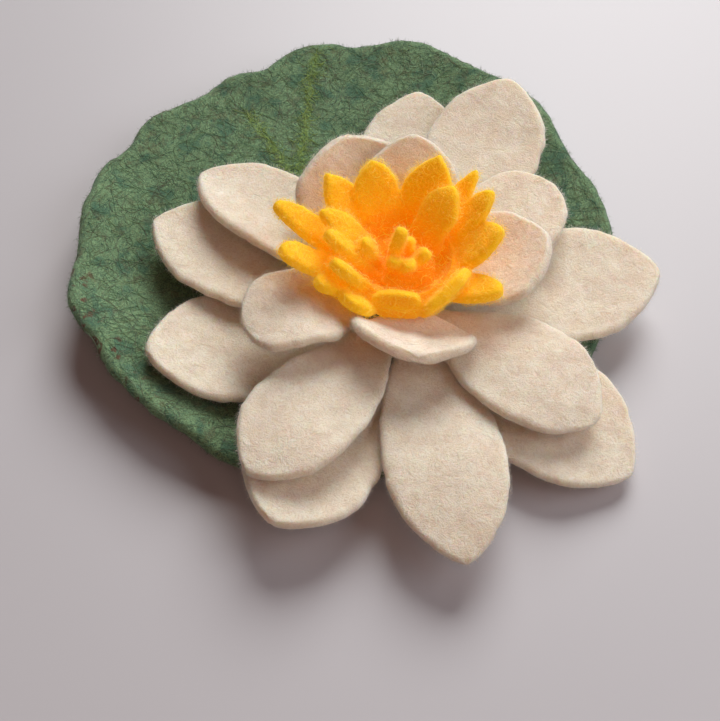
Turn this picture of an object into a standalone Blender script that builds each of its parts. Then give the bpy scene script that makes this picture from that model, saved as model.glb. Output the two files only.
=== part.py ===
"""A water lily made of felt: cream petals and yellow fringes on a green lily pad.

Every petal is one cut piece of felt. Its narrow root lies in a stack at the flower's axis, where
the petals are sewn together, and its blade bends up and out from there. Lengths in the tables are
millimetres and angles are degrees, as on a paper pattern. The flower's axis is the Z axis, the
table is z = 0, and +X points to the flower's right.
"""

import math
from dataclasses import dataclass

import bmesh
import bpy
from mathutils import Vector

MM = 0.001

# The felt
PETAL_FELT = 2.4 * MM
PAD_FELT = 3.0 * MM
FRINGE_FELT = 2.8 * MM
AIR = 0.3 * MM                      # left between pieces that lie on each other
GREEN = (0.045, 0.13, 0.07)
CREAM = (0.80, 0.72, 0.62)
GOLD = (0.90, 0.50, 0.02)
FELT_ROUGHNESS = 0.95

# The stack of petal roots on the pad
ROOT_RADIUS = 2.0 * MM              # a root starts this far from the axis
ROOT_WIDTH_SHARE = 0.05             # of the blade's half width
TIP_HALF_WIDTH = 0.6 * MM
LAYER_STEP = PETAL_FELT + AIR
LAYERS = 5

# How a blade bends, as shares of its length
DROOP_START = 0.4                   # from here the slope turns to the tip's
ROLL_START, ROLL_LENGTH = 0.1, 0.4
CUP_START, CUP_LENGTH = 0.08, 0.35

# The pad, measured from its own middle, at every 22.5 degrees from +X round by +Y
PAD_MIDDLE = (-12.0 * MM, 18.0 * MM)
PAD_RADII = (57, 56.5, 58.5, 58.5, 58.5, 55, 54, 56, 57, 58.5, 57.5, 57, 54, 54, 56, 56)
PAD_RIM_RISE = (2.5, 5, 6, 6, 6, 6, 6, 7, 8.5, 10, 8.5, 5, 2, 0.5, 0, 0.5)
PAD_FLAT_SHARE = 0.45               # of the radius lies flat on the table
PAD_CURVE_POWER = 1.8
PAD_RIPPLES = 11
PAD_RIPPLE_HEIGHT = 0.7 * MM
PAD_LOBES = ((9, 0.5, 1.0), (13, 0.4, 2.3))     # how many, how deep and turned how far

# The yellow fringes stand on the top petals' roots
FRINGE_MIDDLE = (-1.0 * MM, 2.5 * MM)
FRINGE_FOOT = PAD_FELT + LAYERS * LAYER_STEP + 2 * AIR
FOOT_ROUNDING = 0.35                # how soon a tongue has its full width
KNEE_HEIGHT, KNEE_BULGE = 0.5, 0.35
KNOB_RADIUS = 2.3 * MM
KNOB_HEIGHT = 4.0 * MM

# How finely the solids are cut
PETAL_ROWS = 14
PETAL_COLUMNS = 6
PAD_RINGS = 9
PAD_SPOKES = 64
TONGUE_SIDES = 10
TONGUE_RINGS = 8
WALL_SIDES = 28
KNOB_SIDES = 16
WELD = 0.01 * MM


@dataclass(frozen=True)
class Petal:
    """One cut petal: where it points, its pattern's size and how it is bent."""

    name: str
    layer: int          # 1 lies on the pad, 5 is the top of the stack
    azimuth: float      # of the root, from +X round by +Y
    length: float
    width: float
    rise: float         # slope of the blade where it has left the stack
    tip: float          # slope at the tip
    cup: float          # the sides bend up, or down if negative
    swing: float = 0.0  # turn of the midline from root to tip
    roll: float = 0.0   # turn of the blade about its midline
    flat: float = 0.0   # share of the length that stays level before the rise
    lift: float = 0.3   # share of the length in which the blade reaches its rise
    widest: float = 0.6
    waist: float = 1.6
    point: float = 2.8


PETALS = (
    Petal("outer_petal_1", 1, 86, 58, 26, 4, 10, 5, widest=0.62),
    Petal("outer_petal_2", 1, 197, 53, 27.5, 7, 16, 2, swing=-6, roll=3, flat=0.02, lift=0.33,
          waist=2.5, point=3.0),
    Petal("outer_petal_3", 1, 243, 55.5, 25.5, 7, 12, 3, roll=-2, lift=0.32, widest=0.66,
          waist=2.4, point=3.0),
    Petal("outer_petal_4", 1, 318, 55.5, 28, 5, -15, 6, swing=4, waist=2.4),
    Petal("outer_petal_5", 1, 11, 52.6, 29, 8, 5, 5, swing=-6.5, waist=2.2, point=2.6),
    Petal("outer_petal_6", 2, 64, 61, 25.5, 8, 14, 4, swing=5, widest=0.66),
    Petal("outer_petal_7", 2, 161, 55.5, 27.5, 7, 5, 6, swing=-2, roll=6, flat=0.05, lift=0.34),
    Petal("outer_petal_8", 2, 280, 57, 23.5, 10, -15, -4, widest=0.62, waist=1.1, point=2.6),
    Petal("middle_petal_1", 3, 321, 45.5, 23, 12, -24, -4, swing=2, waist=1.3, point=3.0),
    Petal("middle_petal_2", 3, 40, 41, 22, 10, 4, 8, point=3.6),
    Petal("middle_petal_3", 3, 139, 52, 23, 12, 0, 11, swing=15, roll=12, flat=0.11, point=3.0),
    Petal("middle_petal_4", 3, 239, 50.3, 22, 11, -6, 6, swing=-11, widest=0.64, waist=1.4,
          point=3.0),
    Petal("inner_petal_1", 4, 116, 36.5, 29, 38, 42, 14, swing=-8, roll=3, flat=0.3, lift=0.2,
          waist=2.2, point=2.6),
    Petal("inner_petal_2", 4, 12, 30, 22, 22, 18, 16, swing=10, point=2.3),
    Petal("inner_petal_3", 4, 200, 34, 20, 25, -16, 8, swing=-2, roll=7, flat=0.04, widest=0.56,
          waist=3.2, point=5.0),
    Petal("inner_petal_4", 5, 273, 21.2, 25.5, 36, 24, 16, swing=2, roll=-13, flat=0.36,
          lift=0.17, widest=0.54, waist=2.6, point=2.2),
    Petal("inner_petal_5", 5, 87, 32.5, 19, 46, 38, 4, flat=0.31, lift=0.12),
)


@dataclass(frozen=True)
class Wall:
    """The low round wall that a fringe's tongues are cut from."""

    radius: float
    height: float
    flare: float        # how far the top edge leans out


@dataclass(frozen=True)
class Tongue:
    """One cut tongue of a fringe, from its foot in the wall to its tip."""

    azimuth: float      # of the foot, seen from the fringe's middle
    foot: float         # radius at the foot
    reach: float        # radius at the tip
    height: float       # of the tip above the table
    width: float
    swing: float = 0.0  # how far the tip stands round from the foot
    bulge: float = 0.5  # how far the tongue stands up before it leans out
    point: float = 0.5  # 0.3 is blunt, 1 is pointed


OUTER_WALL = Wall(8.0, 4.5, 3.0)
INNER_WALL = Wall(4.3, 3.5, 1.0)

OUTER_TONGUES = (
    Tongue(6, 9, 19.5, 28, 8.5),
    Tongue(28, 9, 20, 30.5, 6),
    Tongue(45, 9, 21, 30.5, 4),
    Tongue(78, 9, 18.2, 33, 9.5, swing=-12, point=0.8),
    Tongue(113, 9, 17.3, 32, 9.5, swing=-2, point=0.6),
    Tongue(141, 9, 21, 30, 8.5, swing=-4, point=0.8),
    Tongue(165, 9, 26, 30, 6.5, bulge=0.2, point=0.4),
    Tongue(194, 10, 24, 27.5, 6.5, swing=-8, bulge=0.2, point=0.3),
    Tongue(204, 10, 18.6, 23.5, 5.5, bulge=0.2, point=0.3),
    Tongue(226, 10, 15.8, 22.4, 8.5, bulge=0.2, point=0.4),
    Tongue(239, 8.6, 14.8, 27, 4.4, swing=-38, bulge=0.4, point=0.3),
    Tongue(264, 10.8, 9.2, 23, 10, bulge=0.9, point=0.4),
    Tongue(308, 10.8, 13.6, 24.8, 11, swing=18, bulge=0.7, point=0.7),
    Tongue(334, 9, 21.2, 23, 7, bulge=0.2, point=0.4),
)

INNER_TONGUES = (
    Tongue(46, 4.4, 14.6, 30.5, 8, bulge=0.7),
    Tongue(163, 4.4, 17, 29.8, 5.5, bulge=0.9),
    Tongue(184, 4.4, 8.4, 27.5, 3.6, bulge=1.0, point=0.3),
    Tongue(217, 5.2, 15.2, 29, 4.4, swing=-38, bulge=0.6, point=0.3),
)

HEART_FINGERS = (
    Tongue(160, 2.0, 0.3, 30.2, 3.6, point=0.3),
    Tongue(338, 0.9, 5.4, 25.6, 3.4, bulge=0.8, point=0.3),
    Tongue(244, 1.0, 4.9, 24.8, 3.6, bulge=1.6, point=0.3),
    Tongue(284, 1.0, 5.4, 24.3, 3.4, bulge=1.8, point=0.3),
    Tongue(60, 0.6, 2.8, 25.0, 3.2, bulge=1.0, point=0.3),
)


def smooth(value):
    """Return a soft step from 0 at 0 to 1 at 1."""
    value = min(1.0, max(0.0, value))
    return value * value * (3.0 - 2.0 * value)


def round_the_rim(values, angle):
    """Read a smooth closed curve through values spaced evenly round a circle."""
    count = len(values)
    place = angle / math.tau % 1.0 * count
    first = int(place)
    share = place - first
    before, here, after, beyond = (values[(first + step) % count] for step in (-1, 0, 1, 2))
    slope = after - before
    bend = 2 * before - 5 * here + 4 * after - beyond
    turn = 3 * (here - after) + beyond - before
    return here + 0.5 * share * (slope + share * (bend + share * turn))


def level_direction(degrees):
    """Return the level unit vector at an azimuth."""
    return Vector((math.cos(math.radians(degrees)), math.sin(math.radians(degrees)), 0.0))


def clear_scene():
    """Remove what the new file holds."""
    for item in list(bpy.data.objects):
        bpy.data.objects.remove(item, do_unlink=True)


def new_collection(name):
    """Add a collection to the scene."""
    collection = bpy.data.collections.new(name)
    bpy.context.scene.collection.children.link(collection)
    return collection


def felt_material(name, colour):
    """Make a dull felt finish of one colour."""
    material = bpy.data.materials.new(name)
    material.use_nodes = True
    shader = material.node_tree.nodes["Principled BSDF"]
    shader.inputs["Base Color"].default_value = (*colour, 1.0)
    shader.inputs["Roughness"].default_value = FELT_ROUGHNESS
    shader.inputs["Metallic"].default_value = 0.0
    material.diffuse_color = (*colour, 1.0)
    return material


def new_object(name, shape, collection):
    """Turn a bmesh into a named object with soft shading."""
    for face in shape.faces:
        face.smooth = True
    mesh = bpy.data.meshes.new(name)
    shape.to_mesh(mesh)
    shape.free()
    item = bpy.data.objects.new(name, mesh)
    collection.objects.link(item)
    return item


def unit_grid(rows, columns):
    """Make a flat grid whose x runs from 0 to 1 along and y from -1 to 1 across."""
    sheet = bmesh.new()
    bmesh.ops.create_grid(sheet, x_segments=rows, y_segments=columns, size=1.0)
    for corner in sheet.verts:
        corner.co.x = 0.5 + 0.5 * corner.co.x
    return sheet


def cut_in_triangles(sheet):
    """Split the faces one way, so that both sides of the felt are cut alike."""
    bmesh.ops.triangulate(sheet, faces=sheet.faces[:], quad_method="FIXED")


def add_felt_thickness(item, thickness):
    """Give an open sheet its thickness, half to each side."""
    solidify = item.modifiers.new("felt", "SOLIDIFY")
    solidify.thickness = thickness
    solidify.offset = 0.0
    solidify.use_even_offset = True


def half_width(petal, share):
    """Return the blade's half width at a share of its length."""
    full = petal.width * MM / 2
    if share <= petal.widest:
        swell = math.sin(math.pi / 2 * share / petal.widest) ** petal.waist
        part = ROOT_WIDTH_SHARE + (1.0 - ROOT_WIDTH_SHARE) * swell
    else:
        part = 1.0 - ((share - petal.widest) / (1.0 - petal.widest)) ** petal.point
    return max(full * part, TIP_HALF_WIDTH)


def midline(petal, rows):
    """Return the blade's place, side and normal at each row, from the root along +X."""
    place = Vector()
    stations = []
    for row in range(rows + 1):
        share = row / rows
        risen = smooth((share - petal.flat) / petal.lift)
        droop = smooth((share - DROOP_START) / (1.0 - DROOP_START))
        slope = math.radians(petal.rise * risen + (petal.tip - petal.rise) * droop)
        out = level_direction(petal.swing * share)
        ahead = out * math.cos(slope) + Vector((0.0, 0.0, math.sin(slope)))
        level_side = Vector((-out.y, out.x, 0.0))
        level_normal = ahead.cross(level_side)
        roll = math.radians(petal.roll) * smooth((share - ROLL_START) / ROLL_LENGTH)
        side = level_side * math.cos(roll) + level_normal * math.sin(roll)
        normal = level_normal * math.cos(roll) - level_side * math.sin(roll)
        stations.append((place.copy(), side, normal))
        place = place + ahead * (petal.length * MM / rows)
    return stations


def cup_offset(half, bend, across):
    """Return how far a point of a cupped blade lies sideways and above the midline."""
    if abs(bend) < 0.001:
        return half * across, 0.0
    radius = half / bend
    return radius * math.sin(bend * across), radius * (1.0 - math.cos(bend * across))


def make_petal(petal, collection):
    """Cut one petal, bend it, and lay its root in the stack."""
    sheet = unit_grid(PETAL_ROWS, PETAL_COLUMNS)
    stations = midline(petal, PETAL_ROWS)
    for corner in sheet.verts:
        share, across = corner.co.x, corner.co.y
        place, side, normal = stations[round(share * PETAL_ROWS)]
        cupped = smooth((share - petal.flat / 2 - CUP_START) / CUP_LENGTH)
        bend = math.radians(petal.cup) * cupped
        sideways, upward = cup_offset(half_width(petal, share), bend, across)
        corner.co = place + side * sideways + normal * upward
    cut_in_triangles(sheet)
    item = new_object(petal.name, sheet, collection)
    item.data.materials.append(felt_material(petal.name + "_felt", CREAM))
    height = PAD_FELT + (petal.layer - 0.5) * LAYER_STEP + AIR / 2
    item.location = level_direction(petal.azimuth) * ROOT_RADIUS + Vector((0.0, 0.0, height))
    item.rotation_euler.z = math.radians(petal.azimuth)
    add_felt_thickness(item, PETAL_FELT)
    return item


def make_pad(collection):
    """Lay the pad: flat in the middle and under the flower, with a raised rim."""
    sheet = unit_grid(PAD_RINGS, PAD_SPOKES)
    for corner in sheet.verts:
        share = corner.co.x
        angle = math.pi * corner.co.y
        lobe = sum(deep * math.sin(count * angle + turn) for count, deep, turn in PAD_LOBES)
        radius = (round_the_rim(PAD_RADII, angle) + lobe * share ** 4) * MM * share
        raised = max(0.0, (share - PAD_FLAT_SHARE) / (1.0 - PAD_FLAT_SHARE)) ** PAD_CURVE_POWER
        rise = round_the_rim(PAD_RIM_RISE, angle)
        ripple = PAD_RIPPLE_HEIGHT * math.sin(PAD_RIPPLES * angle) * rise / max(PAD_RIM_RISE)
        corner.co.x = radius * math.cos(angle)
        corner.co.y = radius * math.sin(angle)
        corner.co.z = (rise * MM + ripple) * raised
    bmesh.ops.remove_doubles(sheet, verts=sheet.verts[:], dist=WELD)
    cut_in_triangles(sheet)
    bmesh.ops.recalc_face_normals(sheet, faces=sheet.faces[:])
    item = new_object("lily_pad", sheet, collection)
    item.data.materials.append(felt_material("lily_pad_felt", GREEN))
    item.location = (*PAD_MIDDLE, PAD_FELT / 2)
    add_felt_thickness(item, PAD_FELT)
    return item


def tongue_solid(tongue):
    """Shape a ball into one tongue: flat, rounded at its edges, bent up and out.

    The tongue is placed from the middle of the fringe's underside.
    """
    solid = bmesh.new()
    bmesh.ops.create_uvsphere(solid, u_segments=TONGUE_SIDES, v_segments=TONGUE_RINGS, radius=1.0)
    foot_out = level_direction(tongue.azimuth)
    tip_out = level_direction(tongue.azimuth + tongue.swing)
    foot = foot_out * (tongue.foot * MM)
    tip = tip_out * (tongue.reach * MM)
    tip.z = tongue.height * MM - FRINGE_FOOT
    knee = foot.lerp(tip, 0.5)
    knee.z = tip.z * (KNEE_HEIGHT + KNEE_BULGE * tongue.bulge)
    for corner in solid.verts:
        share = 0.5 + 0.5 * corner.co.z
        round_x, round_y = corner.co.x, corner.co.y
        ring = math.hypot(round_x, round_y)
        low, high = foot.lerp(knee, share), knee.lerp(tip, share)
        place = low.lerp(high, share)
        side = Vector((0, 0, 1)).cross(foot_out.lerp(tip_out, share)).normalized()
        face = side.cross(low - high).normalized()
        if ring > 0.0:
            blunt = ring ** FOOT_ROUNDING / ring
            taper = 1.0 if share < 0.5 else ring ** (2.0 * tongue.point - FOOT_ROUNDING)
            wide = tongue.width * MM / 2 * blunt * taper
            thick = FRINGE_FELT / 2 * blunt
            place = place + side * (round_x * wide) + face * (round_y * thick)
        corner.co = place
    bmesh.ops.recalc_face_normals(solid, faces=solid.faces[:])
    return solid


def make_wall(name, wall, cutters):
    """Turn the low wall that the tongues of a fringe are cut from."""
    half = FRINGE_FELT / 2
    radius, height, flare = wall.radius * MM, wall.height * MM, wall.flare * MM
    corners = (
        (radius + half + flare, height),
        (radius + half, 0.0),
        (radius - half, 0.0),
        (radius - half + flare, height),
    )
    profile = bmesh.new()
    points = [profile.verts.new((x, 0.0, z)) for x, z in corners]
    for first, second in zip(points, points[1:] + points[:1]):
        profile.edges.new((first, second))
    item = new_object(name, profile, cutters)
    screw = item.modifiers.new("turn", "SCREW")
    screw.steps = WALL_SIDES
    screw.render_steps = WALL_SIDES
    screw.use_merge_vertices = True
    screw.merge_threshold = WELD
    return item


def evaluated_mesh(item):
    """Return the item's mesh with its modifiers applied."""
    bpy.context.view_layer.update()
    graph = bpy.context.evaluated_depsgraph_get()
    return bpy.data.meshes.new_from_object(item.evaluated_get(graph))


def unite(name, base, pieces, collection):
    """Join the pieces to the base in one closed solid on the flower's stack."""
    joined = bpy.data.objects.new(name, evaluated_mesh(base))
    collection.objects.link(joined)
    group = new_collection(name + "_pieces")
    for number, piece in enumerate(pieces, 1):
        new_object(f"{name}_piece_{number}", piece, group)
    union = joined.modifiers.new("union", "BOOLEAN")
    union.operation = "UNION"
    union.operand_type = "COLLECTION"
    union.collection = group
    union.solver = "EXACT"
    whole = evaluated_mesh(joined)
    joined.modifiers.clear()
    joined.data = whole
    whole.name = name
    whole.materials.clear()
    whole.materials.append(felt_material(name + "_felt", GOLD))
    joined.location = (*FRINGE_MIDDLE, FRINGE_FOOT)
    for item in list(group.objects) + [base]:
        bpy.data.objects.remove(item, do_unlink=True)
    bpy.data.collections.remove(group)
    return joined


def make_fringe(name, wall, tongues, collection, cutters):
    """Build one rolled fringe: a low wall and the tongues that rise from it."""
    base = make_wall(name + "_wall", wall, cutters)
    return unite(name, base, [tongue_solid(tongue) for tongue in tongues], collection)


def make_heart(fingers, collection, cutters):
    """Build the heart: a small knob of felt with a few short fingers."""
    knob = bmesh.new()
    bmesh.ops.create_cone(
        knob, cap_ends=True, segments=KNOB_SIDES, radius1=KNOB_RADIUS, radius2=KNOB_RADIUS,
        depth=KNOB_HEIGHT)
    bmesh.ops.translate(knob, verts=knob.verts[:], vec=(0.0, 0.0, KNOB_HEIGHT / 2))
    base = new_object("stamen_heart_knob", knob, cutters)
    return unite("stamen_heart", base, [tongue_solid(finger) for finger in fingers], collection)


def build():
    """Build the whole flower."""
    clear_scene()
    parts = new_collection("felt_water_lily")
    cutters = new_collection("cutters")
    flower = bpy.data.objects.new("flower_axis", None)
    parts.objects.link(flower)
    pieces = [make_pad(parts)]
    pieces += [make_petal(petal, parts) for petal in PETALS]
    pieces.append(make_fringe("stamen_fringe_outer", OUTER_WALL, OUTER_TONGUES, parts, cutters))
    pieces.append(make_fringe("stamen_fringe_inner", INNER_WALL, INNER_TONGUES, parts, cutters))
    pieces.append(make_heart(HEART_FINGERS, parts, cutters))
    for piece in pieces:
        piece.parent = flower
    bpy.data.collections.remove(cutters)


build()
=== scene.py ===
"""Dresses the felt water lily for its portrait.

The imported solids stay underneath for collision. Each of them is replaced here by a finer piece of
the same form: petals, pad and fringes of soft felt with rounded cut edges, and loose wool that
stands off them. Lengths in the tables are millimetres and angles are degrees, as on the pattern.
"""

import logging
import math
from collections.abc import Callable, Iterable
from dataclasses import dataclass
from enum import Enum

import bmesh
import bpy
import numpy as np
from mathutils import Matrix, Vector, noise
from mathutils.bvhtree import BVHTree
from mathutils.kdtree import KDTree

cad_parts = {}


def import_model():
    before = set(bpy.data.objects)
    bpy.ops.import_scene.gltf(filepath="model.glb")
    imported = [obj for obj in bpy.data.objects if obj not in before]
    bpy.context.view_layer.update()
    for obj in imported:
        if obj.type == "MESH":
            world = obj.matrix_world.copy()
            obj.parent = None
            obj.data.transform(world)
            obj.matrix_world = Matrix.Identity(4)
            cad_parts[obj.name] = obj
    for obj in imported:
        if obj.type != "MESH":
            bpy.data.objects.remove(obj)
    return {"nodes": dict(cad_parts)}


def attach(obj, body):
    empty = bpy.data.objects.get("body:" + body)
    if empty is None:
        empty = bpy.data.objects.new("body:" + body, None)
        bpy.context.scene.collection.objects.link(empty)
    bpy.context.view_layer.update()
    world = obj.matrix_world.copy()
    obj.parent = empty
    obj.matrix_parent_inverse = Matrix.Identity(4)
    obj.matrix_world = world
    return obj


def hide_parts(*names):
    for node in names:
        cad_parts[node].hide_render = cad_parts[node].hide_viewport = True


LOG = logging.getLogger("felt_water_lily")

MM = 0.001
BODY = "root"
WELD = 0.001 * MM                   # a petal's points nearer than this are one
PAD_WELD = 0.01 * MM
TABLE_GAP = 0.02 * MM               # the pad's underside stays this far above the table
NEAR_NOTHING = 1e-12
NOISE_STRIDE = (17.3, 5.1, 9.7)     # how far one seed's pattern lies from the next one's
THINNEST_EDGE = 0.05                # of the full thickness, at the very edge

Bumps = tuple[float, float, float]  # height and size in millimetres, and what is added to the seed

PETAL_FELT = 2.4
PAD_FELT = 3.0
FRINGE_FELT = 2.8
AIR = 0.3
LAYER_STEP = PETAL_FELT + AIR
LAYERS = 5
ROOT_RADIUS = 2.0
ROOT_WIDTH_SHARE = 0.05
DROOP_START = 0.4
ROLL_START, ROLL_LENGTH = 0.1, 0.4
CUP_START, CUP_LENGTH = 0.08, 0.35

FRINGE_MIDDLE = (-1.0, 2.5)
FRINGE_FOOT = PAD_FELT + LAYERS * LAYER_STEP + 2 * AIR


class Slot(Enum):
    """The record's material slots."""

    GREEN = "green_felt"
    CREAM = "cream_felt"
    GOLDEN = "golden_felt"


def smooth(value: np.ndarray | float) -> np.ndarray | float:
    """Return a soft step from 0 at 0 to 1 at 1."""
    value = np.clip(value, 0.0, 1.0)
    return value * value * (3.0 - 2.0 * value)


def level_direction(degrees: float) -> np.ndarray:
    """Return the level unit vector at an azimuth."""
    return np.array([math.cos(math.radians(degrees)), math.sin(math.radians(degrees)), 0.0])


def round_the_rim(values: tuple[float, ...], angle: np.ndarray) -> np.ndarray:
    """Read a smooth closed curve through values spaced evenly round a circle.

    Args:
        values: the curve's values, the first at angle 0.
        angle: where to read it, in radians.

    Returns:
        The curve's value at each angle.
    """
    count = len(values)
    table = np.array(values, dtype=float)
    place = (angle / math.tau) % 1.0 * count
    first = np.floor(place).astype(int)
    share = place - first
    before, here, after, beyond = (table[(first + step) % count] for step in (-1, 0, 1, 2))
    slope = after - before
    bend = 2 * before - 5 * here + 4 * after - beyond
    turn = 3 * (here - after) + beyond - before
    return here + 0.5 * share * (slope + share * (bend + share * turn))


def crowd(place: np.ndarray, power: float) -> np.ndarray:
    """Return the places from -1 to 1 on a sheet as shares from 0 to 1 that crowd towards 1."""
    return 1.0 - (1.0 - np.clip((place + 1.0) / 2.0, 0.0, 1.0)) ** power


def rounding(depth: np.ndarray, radius: float) -> np.ndarray:
    """Return the rise of a quarter circle, from 0 at the edge to 1 at its radius."""
    inside = np.clip(depth / radius, 0.0, 1.0)
    return np.sqrt(1.0 - (1.0 - inside) ** 2)


def rounded_edge(depth: np.ndarray, radius: float) -> np.ndarray:
    """Return the share of the felt's full thickness at a depth behind its cut edge."""
    return np.maximum(rounding(depth, radius), THINNEST_EDGE)


def unit(vectors: np.ndarray) -> np.ndarray:
    """Return the vectors at length 1."""
    return vectors / np.maximum(np.linalg.norm(vectors, axis=-1, keepdims=True), NEAR_NOTHING)


def squarer(wave: np.ndarray, power: float) -> np.ndarray:
    """Return a wave from -1 to 1 with fuller shoulders, the fuller the lower the power."""
    return np.sign(wave) * np.abs(wave) ** power


def degrees_from(middle: float, angle: np.ndarray) -> np.ndarray:
    """Return how far angles in radians lie from a middle in degrees, from -180 to 180 degrees."""
    return (np.degrees(angle) - middle + 180.0) % 360.0 - 180.0


def unevenness(points: np.ndarray, size: float, seed: float) -> np.ndarray:
    """Return soft noise from -1 to 1 at points given in millimetres, with patches of that size."""
    shift = Vector([seed * stride for stride in NOISE_STRIDE])
    return np.array([noise.noise(Vector(point) / size + shift) for point in points])


def deselect_all() -> None:
    """Leave object mode's selection empty, so that an operator acts on the new piece alone."""
    if bpy.context.object and bpy.context.object.mode != "OBJECT":
        bpy.ops.object.mode_set(mode="OBJECT")
    bpy.ops.object.select_all(action="DESELECT")


def select_only(item: bpy.types.Object) -> None:
    """Select one object and make it the active one."""
    deselect_all()
    item.select_set(True)
    bpy.context.view_layer.objects.active = item


def add_sheet(name: str, rows: int, columns: int) -> bpy.types.Object:
    """Add a flat grid, 2 by 2, that a formula then shapes into a sheet of felt."""
    deselect_all()
    bpy.ops.mesh.primitive_grid_add(x_subdivisions=rows, y_subdivisions=columns, size=2.0)
    sheet = bpy.context.object
    sheet.name = name
    sheet.data.name = name
    return sheet


def read_points(mesh: bpy.types.Mesh) -> np.ndarray:
    """Return the mesh's vertices as an array, one row each."""
    points = np.empty(len(mesh.vertices) * 3)
    mesh.vertices.foreach_get("co", points)
    return points.reshape(-1, 3)


def write_points(mesh: bpy.types.Mesh, points: np.ndarray) -> None:
    """Move the mesh's vertices to the points of an array."""
    mesh.vertices.foreach_set("co", points.reshape(-1))
    mesh.update()


def paint(mesh: bpy.types.Mesh, name: str, values: np.ndarray) -> None:
    """Store one number for each vertex, for the materials to read."""
    attribute = mesh.attributes.new(name, "FLOAT", "POINT")
    attribute.data.foreach_set("value", np.ascontiguousarray(values, dtype=np.float32))


def read_paint(mesh: bpy.types.Mesh, name: str) -> np.ndarray:
    """Return a painted number for each vertex, or zeros where none was painted."""
    values = np.zeros(len(mesh.vertices))
    if name in mesh.attributes:
        mesh.attributes[name].data.foreach_get("value", values)
    return values


def apply_modifier(item: bpy.types.Object, kind: str, **settings: object) -> None:
    """Add a modifier with these settings to a piece and apply it."""
    select_only(item)
    bpy.ops.object.modifier_add(type=kind)
    modifier = item.modifiers[-1]
    for name, value in settings.items():
        setattr(modifier, name, value)
    bpy.ops.object.modifier_apply(modifier=modifier.name)


def merge_doubles(item: bpy.types.Object, distance: float) -> None:
    """Weld vertices that lie on each other and turn the faces outwards."""
    select_only(item)
    bpy.ops.object.mode_set(mode="EDIT")
    bpy.ops.mesh.select_all(action="SELECT")
    bpy.ops.mesh.remove_doubles(threshold=distance)
    bpy.ops.mesh.normals_make_consistent(inside=False)
    bpy.ops.object.mode_set(mode="OBJECT")


def give_thickness(sheet: bpy.types.Object, thickness: float, shares: np.ndarray) -> None:
    """Make a sheet into felt that is thinner towards its rounded cut edge.

    Args:
        sheet: the open sheet, which is the felt's middle.
        thickness: the felt's full thickness, in millimetres.
        shares: each vertex's share of that thickness.
    """
    group = sheet.vertex_groups.new(name="felt")
    for number, share in enumerate(shares):
        group.add((number,), float(share), "REPLACE")
    apply_modifier(
        sheet, "SOLIDIFY", thickness=thickness * MM, offset=0.0, vertex_group=group.name)
    sheet.vertex_groups.clear()


def ruffle(item: bpy.types.Object, seed: float, bumps: tuple[Bumps, ...]) -> None:
    """Push the felt in and out a little along its normals.

    Args:
        item: the piece, at its full thickness.
        seed: picks the pattern.
        bumps: the kinds of bumps, pushed one after the other.
    """
    mesh = item.data
    for height, size, shift in bumps:
        points = read_points(mesh)
        normals = np.empty(len(mesh.vertices) * 3)
        mesh.vertices.foreach_get("normal", normals)
        push = unevenness(points / MM, size, seed + shift) * height * MM
        write_points(mesh, points + normals.reshape(-1, 3) * push[:, None])


def finish_piece(item: bpy.types.Object, slot: Slot, material: bpy.types.Material, *nodes: str) -> None:
    """Shade a piece softly, dress it, and let it stand for its solids."""
    select_only(item)
    bpy.ops.object.shade_smooth()
    item.data.materials.clear()
    item.data.materials.append(material)
    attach(item, BODY)
    if nodes:
        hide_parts(*nodes)
    LOG.info("%s: %d faces", item.name, len(item.data.polygons))


@dataclass(frozen=True)
class PetalCut:
    """One petal's pattern and how it is bent. The fields are those of the solid."""

    name: str
    layer: int
    azimuth: float
    length: float
    width: float
    rise: float
    tip: float
    cup: float
    swing: float = 0.0
    roll: float = 0.0
    flat: float = 0.0
    lift: float = 0.3
    widest: float = 0.6
    waist: float = 1.6
    point: float = 2.8

    def half_width(self, share: np.ndarray) -> np.ndarray:
        """Return the blade's half width at a share of its length."""
        along = np.clip(share / self.widest, 0.0, 1.0)
        swell = np.sin(math.pi / 2 * along) ** self.waist
        low = ROOT_WIDTH_SHARE + (1.0 - ROOT_WIDTH_SHARE) * swell
        past = np.clip((share - self.widest) / (1.0 - self.widest), 0.0, 1.0)
        return self.width / 2 * np.where(share <= self.widest, low, 1.0 - past ** self.point)

    def midline(self, rows: int) -> tuple[np.ndarray, np.ndarray, np.ndarray]:
        """Return the blade's places, sides and normals from the root to the tip.

        Args:
            rows: how many equal steps the length is divided in.

        Returns:
            Three arrays with a row for each station.
        """
        height = PAD_FELT + (self.layer - 0.5) * LAYER_STEP + AIR / 2
        place = level_direction(self.azimuth) * ROOT_RADIUS + np.array([0.0, 0.0, height])
        places, sides, normals = [], [], []
        for row in range(rows + 1):
            share = row / rows
            risen = smooth((share - self.flat) / self.lift)
            droop = smooth((share - DROOP_START) / (1.0 - DROOP_START))
            slope = math.radians(self.rise * risen + (self.tip - self.rise) * droop)
            out = level_direction(self.azimuth + self.swing * share)
            ahead = out * math.cos(slope) + np.array([0.0, 0.0, math.sin(slope)])
            level_side = np.array([-out[1], out[0], 0.0])
            level_normal = np.cross(ahead, level_side)
            roll = math.radians(self.roll) * smooth((share - ROLL_START) / ROLL_LENGTH)
            places.append(place)
            sides.append(level_side * math.cos(roll) + level_normal * math.sin(roll))
            normals.append(level_normal * math.cos(roll) - level_side * math.sin(roll))
            place = place + ahead * (self.length / rows)
        return np.array(places), np.array(sides), np.array(normals)


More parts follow.
